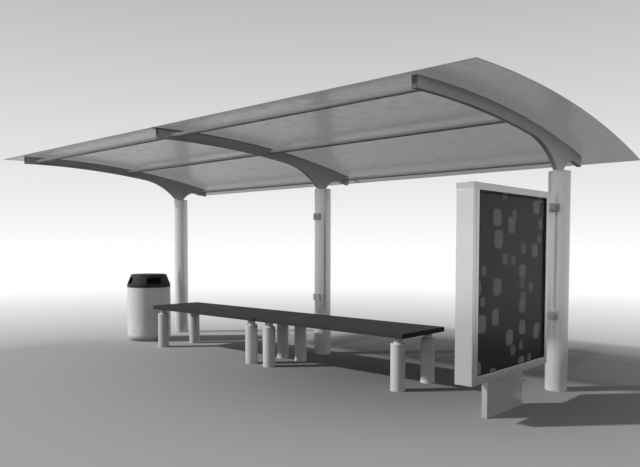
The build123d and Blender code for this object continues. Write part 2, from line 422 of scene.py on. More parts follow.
# Steel tube, powder coated in metallic silver: light grey, with soft upright images in it.
COLUMN_TUBE = Paint(
    "silver_powder_coat", Slot.COLUMN_STEEL, "#DADADA", roughness=0.2, metallic=0.3,
    wave=mm(6.0), wave_height=mm(0.01),
)
# Cast aluminium, blasted and sprayed light grey: dull, with the slow waves of the casting.
ARM_CASTING = Paint(
    "sprayed_cast_aluminium", Slot.ARM_PAINT, "#DEDEDE", roughness=0.5, specular=0.3,
    wave=mm(9.0), wave_height=mm(0.04),
)
# Aluminium sheet, cut to the arm's end: flat and dull, in a darker grey that is painted shade on the tip.
PAINTED_SHADE_PLATE = Paint("painted_shade_end_plate", Slot.ARM_PAINT, "#5E5E5E", roughness=0.6, specular=0.12)
# Extruded aluminium tube, sprayed in the grey of the arms: straight and smooth.
PURLIN_PAINT = Paint(
    "sprayed_aluminium_tube", Slot.PURLIN_PAINT, "#CBCBCB", roughness=0.5, specular=0.15
)
# Cold headed steel screws, zinc plated and weathered: dull.
SCREW_STEEL = Paint(
    "zinc_plated_screw", Slot.ARM_PAINT, "#A9A9A9", roughness=0.5, metallic=0.4,
    wave=mm(2.0), wave_height=mm(0.01),
)
# Rubber, extruded for seals: black and dull. Where it lines the recess round a pane, its black is also
# painted shade of that recess.
BLACK_SEAL_AND_RECESS_SHADE = Paint(
    "rubber_seal_and_recess_shade", Slot.CASE_PAINT, "#141414", roughness=0.75, specular=0.2, wave=mm(2.0)
)
# The same in grey, between the arms and the sheets and in the joint of the sheets.
ROOF_SEAL = Paint(
    "extruded_grey_strip", Slot.ARM_PAINT, "#8A8A8A", roughness=0.75, specular=0.2, wave=mm(2.0)
)
# Polycarbonate, extruded with a grey tint: satin, about a quarter of the light comes through.
ROOF_SHEET = ClearSheet(
    "tinted_polycarbonate", Slot.ROOF_SHEET, "#404040", opacity=0.51, ior=1.585, specular=0.2,
    roughness=0.24, glossy_share=0.85, dull_share=1.25,
    wave=mm(260.0), wave_height=mm(0.12), wave_detail=1.0,
    cloud=mm(110.0), cloud_detail=6.0, cloud_share=0.04,
)
# Extruded aluminium, anodised and satin: it mirrors the pale horizon and the darker ground.
CASE_METAL = Paint(
    "anodised_aluminium", Slot.CASE_PAINT, "#D4D4D4", roughness=0.16, metallic=0.5,
    wave=mm(4.0), wave_height=mm(0.006),
)
# The same, anodised a shade darker.
CAP_METAL = Paint(
    "dark_anodised_aluminium", Slot.CASE_PAINT, "#C0C0C0", roughness=0.2, metallic=0.5,
    wave=mm(4.0), wave_height=mm(0.006),
)
# Acrylic, cast and coated against glare: clear and flat, under a faint mirror image.
PANE = ClearSheet(
    "cast_acrylic", Slot.CASE_PANE, "#1A1A1A", opacity=0.16, roughness=0.08, dull_share=1.1,
    wave=mm(400.0), wave_height=mm(0.15), wave_detail=1.0, cloud=mm(400.0), cloud_detail=1.0,
)
# Paper, offset printed in dark and pale grey: matt.
POSTER = Poster("offset_printed_paper", Slot.POSTER_PRINT)
# Aluminium sheet, lacquered white: flat and dull.
BOARD = Paint("white_lacquered_board", Slot.BOARD_WHITE, "#CFCFCF", roughness=0.6)
# Machined steel, sprayed grey: even and dull.
BRACKET_PAINT = Paint(
    "sprayed_steel_bracket", Slot.BRACKET_PAINT, "#CBCBCB", roughness=0.5, specular=0.2
)
# Folded steel sheet, powder coated dark grey with a coarse dull texture against slipping.
BENCH_COAT = Paint(
    "textured_powder_coat", Slot.BENCH_COAT, "#393939", roughness=0.8, specular=0.1,
    wave=mm(3.5), wave_height=mm(0.09),
)
# Steel tube, stove enamelled light grey: smooth, with a soft low sheen.
LEG_ENAMEL = Paint(
    "stove_enamelled_tube", Slot.BENCH_LEG_STEEL, "#C6C6C6", roughness=0.45, specular=0.25,
    wave=mm(6.0), wave_height=mm(0.01),
)
# Drawn steel sheet, powder coated light grey: even, with a low broad sheen.
BIN_SHELL = Paint("light_grey_bin_coat", Slot.BIN_BODY, "#D9D9D9", roughness=0.5, specular=0.25)
# Moulded polyethylene, black, with the fine grain of its mould.
BIN_HOOD = Paint(
    "moulded_black_plastic", Slot.BIN_HOOD, "#363636", roughness=0.75, specular=0.25,
    wave=mm(2.5), wave_height=mm(0.03),
)
# The same in mid grey, for the bucket: plain and dull.
BIN_BUCKET = Paint("moulded_grey_plastic", Slot.BIN_LINER, "#959595", roughness=0.6)


class Outline:
    """A line that is drawn corner by corner, then turned on a lathe or extruded."""

    def __init__(self, start: Vector, axis: Vector) -> None:
        """Starts the line.

        Args:
            start: The first corner.
            axis: The direction about which arcs turn, square to the plane of the line.
        """
        self.bm = bmesh.new()
        self.axis = axis
        self.first = self.bm.verts.new(start)
        self.last = self.first

    def line(self, *ends: Vector) -> "Outline":
        """Draws straight lines from corner to corner.

        Args:
            ends: Where each line ends.

        Returns:
            The outline.
        """
        for end in ends:
            made = bmesh.ops.extrude_vert_indiv(self.bm, verts=[self.last])
            self.last = made["verts"][0]
            self.last.co = end
        return self

    def arc(self, end: Vector, centre: Vector, steps: int) -> "Outline":
        """Draws an arc of less than half a turn.

        Args:
            end: Where the arc ends.
            centre: The middle of its circle.
            steps: How many straight pieces it has.

        Returns:
            The outline.
        """
        start_arm = self.last.co - centre
        end_arm = end - centre
        angle = math.atan2(self.axis.dot(start_arm.cross(end_arm)), start_arm.dot(end_arm))
        made = bmesh.ops.spin(
            self.bm, geom=[self.last], cent=centre, axis=self.axis, angle=angle, steps=steps,
            use_duplicate=False,
        )
        self.last = next(item for item in made["geom_last"] if isinstance(item, BMVert))
        self.last.co = end
        return self

    def arc_along(self, heading: Vector, end: Vector, steps: int) -> "Outline":
        """Draws an arc that leaves the last corner in a given direction and returns the outline."""
        return self.arc(end, tangent_centre(self.last.co, heading, end, self.axis), steps)

    def close(self) -> "Outline":
        """Joins the last corner to the first and returns the outline."""
        self.bm.edges.new((self.last, self.first))
        return self

    def extrude(self, offset: Vector) -> BMesh:
        """Fills the closed line and pulls it out by an offset.

        Args:
            offset: From one end face to the other.

        Returns:
            The closed solid.
        """
        bmesh.ops.contextual_create(self.bm, geom=self.bm.edges[:])
        made = bmesh.ops.extrude_face_region(self.bm, geom=self.bm.faces[:], use_keep_orig=True)
        moved = [item for item in made["geom"] if isinstance(item, BMVert)]
        bmesh.ops.translate(self.bm, verts=moved, vec=offset)
        return cleaned(self.bm)

    def turn(self, centre: Vector, axis: Vector = UP, steps: int = ROUND_STEPS) -> BMesh:
        """Turns the line once round an axis.

        Args:
            centre: A point of the axis.
            axis: Its direction.
            steps: How many faces go round.

        Returns:
            The turned shape.
        """
        bmesh.ops.spin(
            self.bm, geom=self.bm.verts[:] + self.bm.edges[:], cent=centre, axis=axis,
            angle=math.tau, steps=steps, use_merge=True, use_duplicate=False,
        )
        return cleaned(self.bm)


def tangent_centre(start: Vector, heading: Vector, end: Vector, axis: Vector) -> Vector:
    """Finds the middle of the circle that leaves start along heading and meets end.

    Args:
        start: Where the arc starts.
        heading: Its direction there.
        end: Where it ends.
        axis: The direction square to its plane.

    Returns:
        The circle's middle.
    """
    inward = axis.cross(heading).normalized()
    chord = end - start
    return start + inward * (chord.length_squared / (2.0 * chord.dot(inward)))


def circle_centre(first: Vector, second: Vector, third: Vector) -> Vector:
    """Finds the middle of the circle through three points.

    Args:
        first: One point.
        second: Another.
        third: The last.

    Returns:
        The circle's middle.
    """
    near = second - first
    far = third - first
    normal = near.cross(far)
    across = far.length_squared * normal.cross(near) + near.length_squared * far.cross(normal)
    return first + across / (2.0 * normal.length_squared)


def cleaned(bm: BMesh) -> BMesh:
    """Merges doubled corners and turns every face outwards.

    Args:
        bm: The mesh to change.

    Returns:
        The same mesh.
    """
    bmesh.ops.remove_doubles(bm, verts=bm.verts[:], dist=MERGE_BELOW)
    bmesh.ops.recalc_face_normals(bm, faces=bm.faces[:])
    return bm


def runs_along(edge: BMEdge, axis: Vector) -> bool:
    """Tells whether an edge runs along an axis, either way."""
    return abs((edge.verts[1].co - edge.verts[0].co).normalized().dot(axis)) > PARALLEL


def lies_at(item: BMEdge | BMFace, height: float) -> bool:
    """Tells whether every corner of an edge or a face lies at a height."""
    return all(abs(v.co.z - height) < MERGE_BELOW for v in item.verts)


def spoke(centre: Vector, radius: float, height: float) -> Vector:
    """Finds the point a radius to the right of a centre and a height above it."""
    return centre + Vector((radius, 0.0, height))


def block(low: Sequence[float], high: Sequence[float]) -> BMesh:
    """Makes a box.

    Args:
        low: Its lowest corner.
        high: Its highest corner.

    Returns:
        The box's mesh.
    """
    low, high = Vector(low), Vector(high)
    bm = bmesh.new()
    bmesh.ops.create_cube(bm, size=1.0)
    bmesh.ops.scale(bm, vec=high - low, verts=bm.verts[:])
    bmesh.ops.translate(bm, vec=(low + high) / 2.0, verts=bm.verts[:])
    return bm


def soften(bm: BMesh, radius: float, segments: int = 2, edges: Iterable[BMEdge] | None = None) -> BMesh:
    """Rounds edges over.

    Args:
        bm: The mesh to change.
        radius: How far the rounding reaches.
        segments: How many faces it has.
        edges: The edges to round, or all sharp ones.

    Returns:
        The same mesh.
    """
    if edges is None:
        edges = [e for e in bm.edges if e.calc_face_angle(0.0) > SMOOTH_BELOW]
    bmesh.ops.bevel(
        bm, geom=list(edges), offset=radius, offset_type="OFFSET", segments=segments, profile=0.5,
        affect="EDGES", material=-1, clamp_overlap=True,
    )
    return bm


def turned(centre: Vector, profile: Sequence[tuple[float, float]], closed: bool = False) -> BMesh:
    """Turns a profile about an upright axis.

    Args:
        centre: A point of the axis, whose height is added to the profile's.
        profile: Corners as (radius, height).
        closed: Whether the profile is a ring's, which doesn't reach the axis.

    Returns:
        The turned shape.
    """
    corners = [spoke(centre, radius, height) for radius, height in profile]
    outline = Outline(corners[0], REARWARD).line(*corners[1:])
    if closed:
        outline.close()
    return outline.turn(centre)


def picture_frame(low: Vector, high: Vector, width: float) -> BMesh:
    """Makes a mitred frame of four bars round an upright opening that faces X.

    Args:
        low: The frame's lowest corner.
        high: Its highest corner.
        width: How wide its bars are.

    Returns:
        The closed frame.
    """
    bm = block(low, high)
    bm.normal_update()
    sides = [f for f in bm.faces if abs(f.normal.x) > PARALLEL]
    bmesh.ops.inset_individual(bm, faces=sides, thickness=width)
    rims = [e for f in sides for e in f.edges]
    bmesh.ops.delete(bm, geom=sides, context="FACES_ONLY")
    bmesh.ops.bridge_loops(bm, edges=rims)
    return cleaned(bm)


def merged_copy(node: str) -> BMesh:
    """Copies a CAD node's mesh and merges its loose triangles into whole faces.

    Args:
        node: The node's name.

    Returns:
        The merged copy.
    """
    bm = bmesh.new()
    bm.from_mesh(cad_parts[node].data)
    cleaned(bm)
    bmesh.ops.dissolve_limit(bm, angle_limit=FLAT_BELOW, verts=bm.verts[:], edges=bm.edges[:])
    return bm


class SubAssembly:
    """A group of pieces that are made and dressed together."""

    def build(self) -> None:
        """Makes the group's pieces."""
        raise NotImplementedError

    def piece(self, name: str, bm: BMesh, finish: Finish, stands_for: Sequence[str] = ()) -> None:
        """Makes a finished piece from a mesh.

        Args:
            name: The piece's name.
            bm: Its mesh, which is freed.
            finish: What its surface is.
            stands_for: The CAD nodes that it replaces.
        """
        for face in bm.faces:
            face.smooth = True
        for edge in bm.edges:
            edge.smooth = edge.calc_face_angle(0.0) < SMOOTH_BELOW
        made = mesh_object(name, bm, material_of(finish))
        even = made.modifiers.new("even_shading", "WEIGHTED_NORMAL")
        even.keep_sharp = True
        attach(made, BODY)
        if stands_for:
            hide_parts(*stands_for)
        log.info("%s: %d faces, %s", name, len(made.data.polygons), finish.name)

    def dress(self, node: str, finish: Finish) -> None:
        """Gives a CAD node that stays its finish.

        Args:
            node: The node's name.
            finish: What its surface is.
        """
        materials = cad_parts[node].data.materials
        materials.clear()
        materials.append(material_of(finish))
        log.info("%s: dressed, %s", node, finish.name)


@dataclass
class Columns(SubAssembly):
    """Three round columns, each on a foot disc, with a flat cap."""

    edge: float = mm(1.2)
    cap_edge: float = mm(2.5)

    def build(self) -> None:
        """Makes the tubes, the feet and the caps."""
        foot_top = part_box("column_feet")[1].z
        cap_low, cap_top = (corner.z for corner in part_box("column_caps"))
        for side in SIDES:
            low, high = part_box(f"{side}_column")
            centre = Vector(((low.x + high.x) / 2.0, 0.0, 0.0))
            radius = (high.y - low.y) / 2.0
            parts = (
                ("foot", 0.0, foot_top, self.edge, "column_feet"),
                ("tube", foot_top, cap_low, self.edge, f"{side}_column"),
                ("cap", cap_low, cap_top, self.cap_edge, "column_caps"),
            )
            for part, bottom, top, edge, node in parts:
                profile = [(0.0, bottom), (radius, bottom), (radius, top), (0.0, top)]
                made = soften(turned(centre, profile), edge)
                self.piece(f"{side}_column_{part}", made, COLUMN_TUBE, [node])


@dataclass
class RoofCurve:
    """The arc that the roof and the arms' tops follow."""

    radius: float = 11.400
    apex_y: float = -1.930
    apex_z: float = 2.510

    @property
    def centre(self) -> Vector:
        """The middle of the arc's circle, at the middle of the shelter."""
        return Vector((0.0, self.apex_y, self.apex_z - self.radius))

    def point(self, x: float, y: float, depth: float = 0.0) -> Vector:
        """Finds a point below the roof's upper face.

        Args:
            x: Its place along the shelter.
            y: Its place from front to rear.
            depth: How far it lies below, square to the curve.

        Returns:
            The point.
        """
        rise = math.sqrt((self.radius - depth) ** 2 - (y - self.apex_y) ** 2)
        return Vector((x, y, self.centre.z + rise))

    def bar(self, low: Vector, high: Vector, top: float, bottom: float, steps: int) -> BMesh:
        """Makes a bar or sheet that follows the curve.

        Args:
            low: Its lowest x and y.
            high: Its highest x and y.
            top: The depth of its upper face.
            bottom: The depth of its lower face.
            steps: How many straight pieces its arcs have.

        Returns:
            The closed solid.
        """
        middle = Vector((low.x, self.centre.y, self.centre.z))
        outline = Outline(self.point(low.x, low.y, top), ALONG)
        outline.arc(self.point(low.x, high.y, top), middle, steps)
        outline.line(self.point(low.x, high.y, bottom))
        outline.arc(self.point(low.x, low.y, bottom), middle, steps)
        return outline.close().extrude(Vector((high.x - low.x, 0.0, 0.0)))


@dataclass
class Roof(SubAssembly):
    """Two tinted sheets, the strips that carry them and the screws that hold them down."""

    curve: RoofCurve
    sheet_depth: float = mm(10.0)
    strip_depth: float = mm(32.0)
    seal_height: float = mm(3.0)
    seal_proud: float = mm(1.5)
    edge: float = mm(1.0)
    seal_edge: float = mm(0.8)
    screw_radius: float = mm(6.5)
    screw_top_radius: float = mm(4.55)
    screw_height: float = mm(3.0)
    screw_inset: float = mm(12.0)
    screw_spacing: float = mm(320.0)
    screw_steps: int = 16
    sheet_steps: int = 96
    strip_steps: int = 72

    def build(self) -> None:
        """Makes the sheets, the glazing strips, their seals and the screws."""
        for side in ("left", "right"):
            low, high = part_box(f"roof_sheet_{side}")
            sheet = self.curve.bar(low, high, 0.0, self.sheet_depth, self.sheet_steps)
            self.piece(f"{side}_roof_sheet", soften(sheet, self.edge), ROOF_SHEET, [f"roof_sheet_{side}"])
        seal_depth = self.sheet_depth + self.seal_height
        for side in SIDES:
            low, high = self.over(side)
            strip = self.curve.bar(low, high, seal_depth, self.strip_depth, self.strip_steps)
            self.piece(f"{side}_glazing_strip", soften(strip, self.edge), ARM_CASTING, ["glazing_strips"])
            seal = self.curve.bar(low, high, self.sheet_depth, seal_depth, self.strip_steps)
            self.piece(f"{side}_glazing_seal", soften(seal, self.seal_edge), ROOF_SEAL)
            self.piece(f"{side}_roof_screws", self.screws(low, high), SCREW_STEEL)
        self.piece("sheet_joint_seal", self.joint_seal(), ROOF_SEAL)

    def over(self, side: str) -> tuple[Vector, Vector]:
        """Finds how far the glazing strip reaches over one arm.

        Args:
            side: The arm's name.

        Returns:
            The strip's lowest and highest corner, as wide as the arm.
        """
        arm_low, arm_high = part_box(f"{side}_arm")
        low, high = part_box("glazing_strips")
        return Vector((arm_low.x, low.y, 0.0)), Vector((arm_high.x, high.y, 0.0))

    def joint_seal(self) -> BMesh:
        """Makes the bead of rubber that fills the joint between the two sheets.

        Returns:
            The bead's mesh.
        """
        left_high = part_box("roof_sheet_left")[1]
        right_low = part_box("roof_sheet_right")[0]
        low = Vector((left_high.x, right_low.y, 0.0))
        high = Vector((right_low.x, left_high.y, 0.0))
        return self.curve.bar(low, high, -self.seal_proud, self.sheet_depth, self.strip_steps)

    def screws(self, low: Vector, high: Vector) -> BMesh:
        """Makes the screw heads in two rows over one arm.

        Args:
            low: The lowest corner of the arm's glazing strip.
            high: Its highest corner.

        Returns:
            The heads as one mesh.
        """
        screws = bmesh.new()
        count = int((high.y - low.y) // self.screw_spacing)
        margin = (high.y - low.y - (count - 1) * self.screw_spacing) / 2.0
        for x in (low.x + self.screw_inset, high.x - self.screw_inset):
            for i in range(count):
                y = low.y + margin + i * self.screw_spacing
                lean = math.asin((y - self.curve.apex_y) / self.curve.radius)
                place = Matrix.Translation(self.curve.point(x, y)) @ Matrix.Rotation(-lean, 4, "X")
                head = place @ Matrix.Translation((0.0, 0.0, self.screw_height / 2.0))
                bmesh.ops.create_cone(
                    screws, cap_ends=True, segments=self.screw_steps, radius1=self.screw_radius,
                    radius2=self.screw_top_radius, depth=self.screw_height, matrix=head,
                )
        return screws


@dataclass
class Arms(SubAssembly):
    """Three cast arms: a blade that tapers to its tip, flared down to a neck on the column."""

    curve: RoofCurve
    top_depth: float = mm(32.0)
    tip_depth: float = mm(66.0)
    root_depth: float = mm(80.0)
    stub_depth: float = mm(82.0)
    front_flare: float = -0.620
    rear_flare: float = 0.300
    neck_front: float = -0.092
    neck_rear: float = 0.036
    corner: float = mm(14.0)
    edge: float = mm(4.0)
    weld: float = mm(7.0)
    weld_round: float = mm(6.3)
    plate: float = mm(2.0)
    plate_top_depth: float = mm(10.5)
    long_steps: int = 64
    short_steps: int = 24
    stub_steps: int = 8

    def build(self) -> None:
        """Makes the arms, the plates on their tips and the welds at their necks."""
        for side in SIDES:
            low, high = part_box(f"{side}_arm")
            self.piece(f"{side}_arm_casting", self.casting(low, high), ARM_CASTING, [f"{side}_arm"])
            # The dark plate on each tip is painted shade.
            self.piece(f"{side}_end_plate", self.end_plate(low, high), PAINTED_SHADE_PLATE)
            self.piece(f"{side}_neck_weld", self.neck_weld(low, high), ARM_CASTING)

    def under(self, x: float, y: float, depth: float) -> Vector:
        """Finds a point a given height below the arm's top."""
        return self.curve.point(x, y, self.top_depth) - UP * depth

    def casting(self, low: Vector, high: Vector) -> BMesh:
        """Makes one arm.

        Args:
            low: The lowest corner of the arm's box.
            high: Its highest corner.

        Returns:
            The arm's mesh.
        """
        x = low.x
        centre = Vector((x, self.curve.centre.y, self.curve.centre.z))
        tip = self.under(x, low.y, self.tip_depth)
        middle_y = (low.y + self.front_flare) / 2.0
        middle = self.under(x, middle_y, (self.root_depth + self.tip_depth) / 2.0)
        root = self.under(x, self.front_flare, self.root_depth)
        neck_front = Vector((x, self.neck_front, low.z))
        neck_rear = Vector((x, self.neck_rear, low.z))
        stub_radius = self.top_depth + self.stub_depth
        stub_root = self.curve.point(x, self.rear_flare, stub_radius)
        stub_tip = self.curve.point(x, high.y, stub_radius)
        blade_centre = circle_centre(tip, middle, root)
        outline = Outline(self.curve.point(x, low.y, self.top_depth), ALONG)
        outline.line(tip)
        outline.arc(root, blade_centre, self.long_steps)
        outline.arc_along(ALONG.cross(root - blade_centre) * -1.0, neck_front, self.short_steps)
        outline.line(neck_rear)
        rear_centre = tangent_centre(stub_root, ALONG.cross(stub_root - centre), neck_rear, ALONG)
        outline.arc(stub_root, rear_centre, self.short_steps)
        outline.arc(stub_tip, centre, self.stub_steps)
        outline.line(self.curve.point(x, high.y, self.top_depth))
        outline.arc(self.curve.point(x, low.y, self.top_depth), centre, self.long_steps)
        bm = outline.extrude(ALONG * (high.x - low.x))
        corners = [
            e for e in bm.edges
            if runs_along(e, ALONG)
            and any((e.verts[0].co - c).yz.length < MERGE_BELOW for c in (tip, stub_tip))
        ]
        soften(bm, self.corner, segments=6, edges=corners)
        return soften(bm, self.edge, segments=3)

    def end_plate(self, low: Vector, high: Vector) -> BMesh:
        """Makes the plate on one arm's tip, up to the sheet; its dark grey is painted shade.

        Args:
            low: The lowest corner of the arm's box.
            high: Its highest corner.

        Returns:
            The plate's mesh.
        """
        top = self.curve.point(low.x, low.y, self.plate_top_depth).z
        bottom = self.under(low.x, low.y, self.tip_depth).z
        bm = block((low.x, low.y - self.plate, bottom), (high.x, low.y, top))
        lower = [e for e in bm.edges if lies_at(e, bottom) and runs_along(e, REARWARD)]
        return soften(bm, self.edge, segments=3, edges=lower)

    def neck_weld(self, low: Vector, high: Vector) -> BMesh:
        """Makes the fillet weld round one neck.

        Args:
            low: The lowest corner of the arm's box.
            high: Its highest corner.

        Returns:
            The weld's mesh.
        """
        grow = Vector((self.weld, self.weld, 0.0))
        bm = block(
            Vector((low.x, self.neck_front, low.z)) - grow,
            Vector((high.x, self.neck_rear, low.z + self.weld)) + grow,
        )
        upper = [e for e in bm.edges if lies_at(e, low.z + self.weld)]
        return soften(bm, self.weld_round, segments=3, edges=upper)


@dataclass
class Purlins(SubAssembly):
    """Round tubes from arm to arm: three in each bay."""

    steps: int = 48
    weld: float = mm(4.0)

    def build(self) -> None:
        """Makes the six purlins."""
        for bay in BAYS:
            for row in ("front", "middle", "rear"):
                node = f"{row}_purlin_{bay}"
                low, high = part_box(node)
                self.piece(f"{row}_purlin_tube_{bay}", self.tube(low, high), PURLIN_PAINT, [node])

    def tube(self, low: Vector, high: Vector) -> BMesh:
        """Makes one tube with its two welds.

        Args:
            low: The lowest corner of the tube's box.
            high: Its highest corner.

        Returns:
            The tube's mesh.
        """
        middle = (low + high) / 2.0
        radius = (high.z - low.z) / 2.0
        points = [
            (low.x, 0.0), (low.x, radius + self.weld), (low.x + self.weld, radius),
            (high.x - self.weld, radius), (high.x, radius + self.weld), (high.x, 0.0),
        ]
        corners = [Vector((x, middle.y, middle.z + reach)) for x, reach in points]
        return Outline(corners[0], REARWARD).line(*corners[1:]).turn(middle, ALONG, self.steps)


@dataclass
class PosterCase(SubAssembly):
    """Two-sided poster case with its foot and brackets, and the bare saddles beside it."""

    edge: float = mm(2.5)
    post_edge: float = mm(7.0)
    cap_edge: float = mm(2.0)
    pane_top_cover: float = mm(13.0)
    door_width: float = mm(42.0)
    door_proud: float = mm(2.5)
    seal_width: float = mm(4.0)
    seal_sink: float = mm(1.0)
    bracket_edge: float = mm(2.0)
    post_end_edge: float = mm(1.0)
    frame_edge: float = mm(0.8)

    def build(self) -> None:
        """Makes the case from its foot to its cap."""
        for node in ("case_bottom_rail", "case_foot"):
            body = soften(block(*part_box(node)), self.edge, segments=3)
            self.piece(f"{node}_body", body, CASE_METAL, [node])
        for node, end in (("case_front_post", 0), ("case_rear_post", 1)):
            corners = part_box(node)
            post = block(*corners)
            upright = [
                e for e in post.edges
                if runs_along(e, UP) and all(abs(v.co.y - corners[end].y) < MERGE_BELOW for v in e.verts)
            ]
            soften(post, self.post_edge, segments=5, edges=upright)
            self.piece(f"{node}_body", soften(post, self.post_end_edge), CASE_METAL, [node])
        low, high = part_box("case_top_cap")
        cap = block(low, high)
        soften(cap, self.cap_edge, segments=3, edges=[e for e in cap.edges if lies_at(e, high.z)])
        self.piece("case_top_cap_body", cap, CAP_METAL, ["case_top_cap"])
        for name, side in (("inner", -1.0), ("outer", 1.0)):
            self.side(name, side)
        for node in (
            "upper_case_bracket", "lower_case_bracket", "upper_column_saddle", "lower_column_saddle"
        ):
            body = soften(merged_copy(node), self.bracket_edge)
            self.piece(f"{node}_body", body, BRACKET_PAINT, [node])

    def side(self, name: str, side: float) -> None:
        """Makes the door frame and its seal on one side, and dresses what lies behind.

        Args:
            name: The side's name in the CAD nodes.
            side: 1.0 where it faces +X, else -1.0.
        """
        self.dress(f"{name}_pane", PANE)
        self.dress(f"{name}_poster", POSTER)
        self.dress(f"{name}_backing_board", BOARD)
        low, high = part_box(f"{name}_pane")
        rail_low, rail_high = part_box("case_bottom_rail")
        face = rail_high.x if side > 0 else rail_low.x
        pane_face = high.x if side > 0 else low.x
        outside = face + side * self.door_proud
        high.z -= self.pane_top_cover
        door = self.frame(low, high, face, outside, self.door_width, self.door_width)
        top_edge = [v for v in door.verts if v.co.z > high.z + self.door_width - MERGE_BELOW]
        bmesh.ops.translate(door, verts=top_edge, vec=-UP * (self.door_width - self.pane_top_cover))
        self.piece(f"{name}_door_frame", soften(door, self.frame_edge), CASE_METAL)
        # The seal lines the recess from the pane to the door frame's face; its black is partly painted shade
        # of the recess.
        lip = outside - side * self.seal_sink
        seal = self.frame(low, high, pane_face, lip, 0.0, self.seal_width)
        self.piece(f"{name}_pane_seal", soften(seal, self.frame_edge), BLACK_SEAL_AND_RECESS_SHADE)

    def frame(
        self, low: Vector, high: Vector, back: float, front: float, grow: float, width: float
    ) -> BMesh:
        """Makes a frame round the pane.

        Args:
            low: The pane's lowest corner.
            high: Its highest corner.
            back: Where the frame's back lies.
            front: Where its front lies.
            grow: How far it reaches past the pane's edges.
            width: How wide its bars are.

        Returns:
            The frame.
        """
        return picture_frame(
            Vector((min(back, front), low.y - grow, low.z - grow)),
            Vector((max(back, front), high.y + grow, high.z + grow)),
            width,
        )


@dataclass
class Benches(SubAssembly):
    """Two seat pans, end to end, each on four round legs."""

    sheet: float = mm(4.0)
    corner: float = mm(12.0)
    top_edge: float = mm(6.0)
    leg_radius: float = mm(70.0)
    neck_radius: float = mm(44.45)
    leg_top: float = mm(450.0)
    shoulder: float = mm(9.0)
    groove_below: float = mm(26.0)
    groove_width: float = mm(4.0)
    groove_depth: float = mm(2.0)
    flange_radius: float = mm(62.0)
    flange_height: float = mm(6.0)
    shoulder_steps: int = 6
    leg_steps: int = 64

    def build(self) -> None:
        """Makes the pans and the legs."""
        for side in ("left", "right"):
            low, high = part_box(f"bench_seat_{side}")
            self.piece(f"{side}_seat_pan", self.pan(low, high), BENCH_COAT, [f"bench_seat_{side}"])
            legs_low, legs_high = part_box(f"bench_legs_{side}")
            spots = [
                (x, y)
                for x in (legs_low.x + self.leg_radius, legs_high.x - self.leg_radius)
                for y in (legs_low.y + self.leg_radius, legs_high.y - self.leg_radius)
            ]
            for i, (x, y) in enumerate(spots):
                leg = self.leg(Vector((x, y, 0.0)), high.z - self.sheet)
                self.piece(f"{side}_bench_leg_{i + 1}", leg, LEG_ENAMEL, [f"bench_legs_{side}"])

    def pan(self, low: Vector, high: Vector) -> BMesh:
        """Makes one seat: a sheet folded down at its edges.

        Args:
            low: The lowest corner of the seat's box.
            high: Its highest corner.

        Returns:
            The pan's mesh.
        """
        bm = block(low, high)
        soften(bm, self.corner, segments=6, edges=[e for e in bm.edges if runs_along(e, UP)])
        soften(bm, self.top_edge, segments=4, edges=[e for e in bm.edges if lies_at(e, high.z)])
        bottom = [f for f in bm.faces if lies_at(f, low.z)]
        bmesh.ops.delete(bm, geom=bottom, context="FACES")
        bmesh.ops.solidify(bm, geom=bm.faces[:], thickness=self.sheet)
        return cleaned(bm)

    def leg(self, centre: Vector, top: float) -> BMesh:
        """Makes one leg: tube, ring groove, rounded shoulder, neck and flange under the seat.

        Args:
            centre: The middle of its foot.
            top: The underside of the seat's top plate.

        Returns:
            The leg's mesh.
        """
        groove_top = self.leg_top - self.groove_below
        groove_low = groove_top - self.groove_width
        inside = self.leg_radius - self.groove_depth
        neck = self.neck_radius
        flange_low = top - self.flange_height
        outline = Outline(centre.copy(), REARWARD)
        tube = [
            (self.leg_radius, 0.0), (self.leg_radius, groove_low), (inside, groove_low),
            (inside, groove_top), (self.leg_radius, groove_top),
            (self.leg_radius, self.leg_top - self.shoulder),
        ]
        outline.line(*(spoke(centre, r, z) for r, z in tube))
        round_end = spoke(centre, self.leg_radius - self.shoulder, self.leg_top)
        outline.arc_along(UP, round_end, self.shoulder_steps)
        head = [
            (neck, self.leg_top), (neck, flange_low), (self.flange_radius, flange_low),
            (self.flange_radius, top), (0.0, top),
        ]
        outline.line(*(spoke(centre, r, z) for r, z in head))
        return outline.turn(centre, steps=self.leg_steps)


